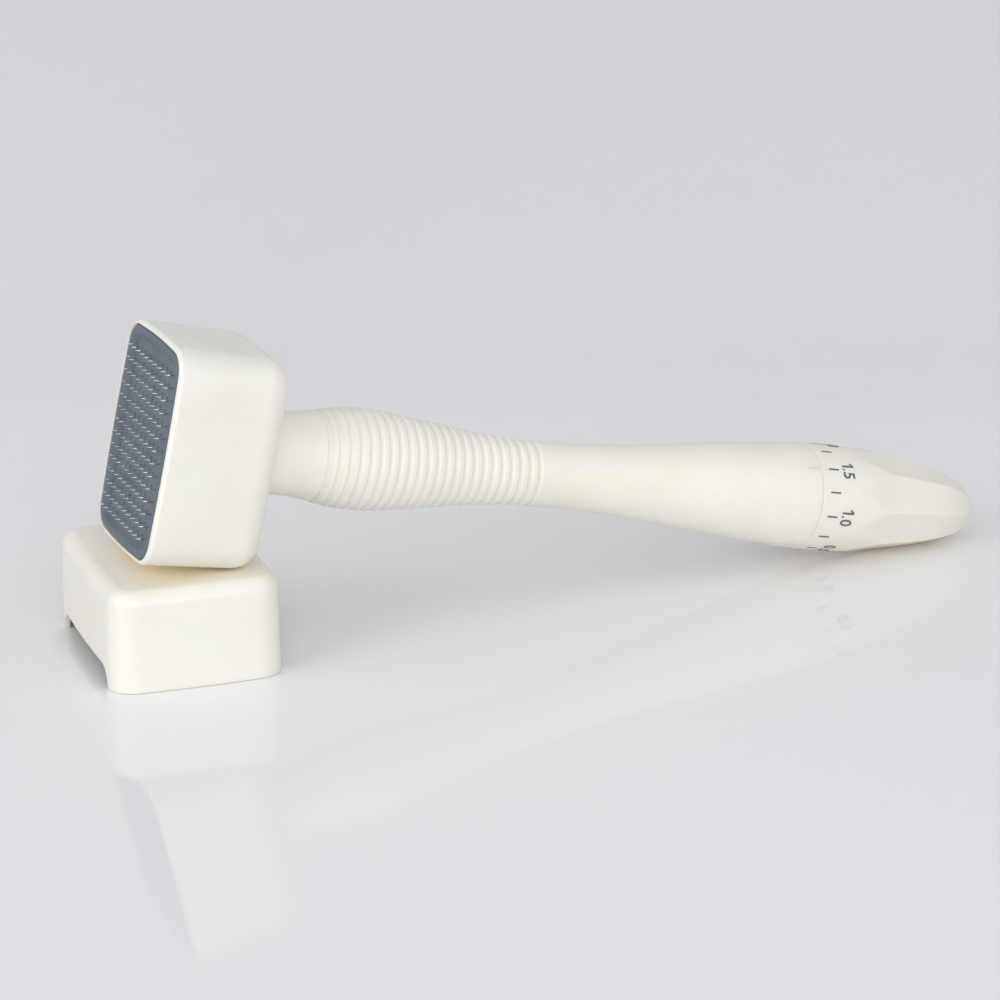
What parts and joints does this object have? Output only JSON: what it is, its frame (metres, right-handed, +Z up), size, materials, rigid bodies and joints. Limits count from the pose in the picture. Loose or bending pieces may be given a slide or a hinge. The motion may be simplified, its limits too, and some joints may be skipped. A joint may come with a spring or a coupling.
{
  "type": "adjustable micro-needle stamp",
  "caption": "Hand-held micro-needle stamp: boxy needle head, ribbed waisted handle, depth dial at the end, resting on its open-bottomed protective cap.",
  "frame": {"origin": "middle of the whole part's footprint on the table, as it lies with its head on its cap", "axes": "+X along the handle from the needle face to the tip of the dial, +Y across, +Z up; the stamp's own axis falls 12 degrees from the head to the dial"},
  "size_m": [0.145, 0.0344, 0.049],
  "materials": {
    "ivory_plastic": "satin moulded",
    "slate_plastic": "satin moulded",
    "needle_steel": "polished points",
    "hardware_steel": "plain",
    "drive_brass": "machined",
    "seal_rubber": "plain",
    "bearing_plastic": "plain moulded",
    "print_ink": "flat print"
  },
  "bodies": {
    "stamp": {"head_shell": "ivory_plastic", "face_plate": "slate_plastic", "guide_posts": "hardware_steel", "neck_lock_ring": "bearing_plastic", "handle_shell": "ivory_plastic", "rod_guide_bush": "bearing_plastic", "spindle_bush": "drive_brass", "dial_seal": "seal_rubber", "detent_ball": "hardware_steel", "detent_spring": "hardware_steel", "index_mark": "ivory_plastic"},
    "needle_block": {"needles": "needle_steel", "needle_carrier": "bearing_plastic", "backing_plate": "bearing_plastic", "carrier_screws": "hardware_steel", "rod_hub": "bearing_plastic", "hub_screws": "hardware_steel", "push_rod": "hardware_steel", "lead_nut": "drive_brass"},
    "dial": {"dial_knob": "ivory_plastic", "dial_scale": "print_ink", "drive_spindle": "hardware_steel", "retaining_clip": "hardware_steel", "thrust_washer": "bearing_plastic"},
    "cap": {"protective_cap": "ivory_plastic"}
  },
  "joints": [
    {"name": "dial_turn", "type": "hinge", "parent": "stamp", "child": "dial", "pos_m": [-0.06398, -0.0033, 0.03328], "axis": [0.9781, 0, -0.2081], "range_deg": [-158.4, 158.4]},
    {"name": "needle_depth", "type": "slide", "parent": "stamp", "child": "needle_block", "axis": [-0.9781, 0, 0.2081], "range_m": [-0.0015, 0.0015]},
    {"name": "cap_off", "type": "slide", "parent": "stamp", "child": "cap", "axis": [-1, 0, 0], "range_m": [0, 0.035]}
  ],
  "couplings": [
    {"joint": "needle_depth", "follows": "dial_turn", "m_per_rad": 0.00054257}
  ]
}
